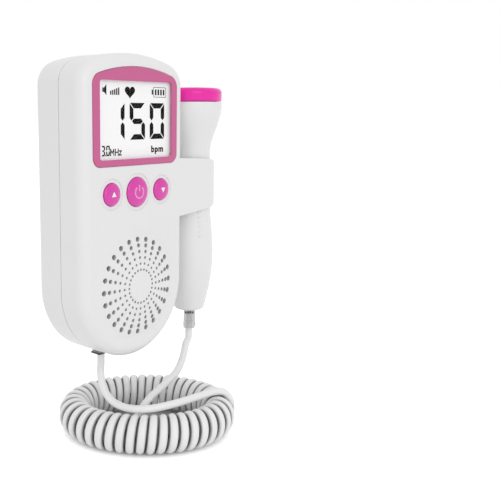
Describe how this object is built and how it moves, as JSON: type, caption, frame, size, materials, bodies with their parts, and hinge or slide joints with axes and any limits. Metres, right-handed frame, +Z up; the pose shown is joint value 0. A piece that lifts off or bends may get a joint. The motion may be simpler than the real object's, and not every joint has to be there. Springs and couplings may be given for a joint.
{
  "type": "fetal doppler monitor",
  "caption": "White hand-held fetal doppler monitor with an LCD, three magenta buttons, a round speaker grille and a clip-on probe on a curly cord.",
  "frame": {"origin": "on the flat back face of the rear shell, level with the centre of the speaker grille", "axes": "+Y out of the back of the unit, +Z up towards the display end, +X to the right seen from the front"},
  "size_m": [0.0971, 0.0794, 0.1813],
  "materials": {
    "shell_white": "satin white ABS",
    "bezel_pink": "glossy pink",
    "button_magenta": "glossy magenta",
    "clear_plastic": "clear polycarbonate",
    "display_grey": "reflective liquid crystal panel",
    "board_green": "glass epoxy with green solder mask",
    "black_plastic": "matt black",
    "steel": "plated steel",
    "cone_paper": "treated paper",
    "ferrite": "sintered ferrite",
    "cell_wrap": "printed steel can",
    "crystal": "piezo ceramic",
    "acoustic_face": "smooth light grey",
    "cord_white": "satin white PVC jacket"
  },
  "bodies": {
    "housing": {"front_shell": "shell_white", "rear_shell": "shell_white", "display_bezel": "bezel_pink", "display_window": "clear_plastic", "lcd_panel": "display_grey", "backlight_panel": "display_grey", "power_switch": "black_plastic", "volume_up_switch": "black_plastic", "volume_down_switch": "black_plastic", "main_board": "board_green", "amplifier_chip": "black_plastic", "controller_chip": "black_plastic", "radio_chip": "black_plastic", "speaker_frame": "black_plastic", "speaker_cone": "cone_paper", "speaker_magnet": "ferrite", "battery_left": "cell_wrap", "battery_right": "cell_wrap", "contact_left_bottom": "steel", "contact_left_top": "steel", "contact_right_bottom": "steel", "contact_right_top": "steel", "case_screw_1": "steel", "case_screw_2": "steel", "case_screw_3": "steel", "case_screw_4": "steel", "cord_socket": "black_plastic", "headphone_jack": "black_plastic", "unit_plug": "clear_plastic", "unit_lead": "cord_white", "curly_coil": "cord_white", "probe_lead": "cord_white"},
    "probe": {"probe_body": "shell_white", "probe_ring": "button_magenta", "probe_face": "acoustic_face", "transmit_crystal": "crystal", "receive_crystal": "crystal", "crystal_holder": "black_plastic", "probe_board": "board_green", "probe_socket": "black_plastic", "probe_plug": "clear_plastic"},
    "power_key": {"power_button": "button_magenta"},
    "volume_up_key": {"volume_up_button": "button_magenta"},
    "volume_down_key": {"volume_down_button": "button_magenta"},
    "cover": {"battery_cover": "shell_white"}
  },
  "joints": [
    {"name": "power_press", "type": "slide", "parent": "housing", "child": "power_key", "axis": [0, 1, 0], "range_m": [0, 0.001], "stiffness_N_per_m": 600, "springref_m": -0.0005},
    {"name": "volume_up_press", "type": "slide", "parent": "housing", "child": "volume_up_key", "axis": [0, 1, 0], "range_m": [0, 0.001], "stiffness_N_per_m": 600, "springref_m": -0.0005},
    {"name": "volume_down_press", "type": "slide", "parent": "housing", "child": "volume_down_key", "axis": [0, 1, 0], "range_m": [0, 0.001], "stiffness_N_per_m": 600, "springref_m": -0.0005},
    {"name": "probe_unclip", "type": "slide", "parent": "housing", "child": "probe", "axis": [0, 1, 0], "range_m": [0, 0.03]},
    {"name": "battery_cover_open", "type": "hinge", "parent": "housing", "child": "cover", "pos_m": [0, 0, 0.0287], "axis": [-1, 0, 0], "range_deg": [0, 70]}
  ]
}
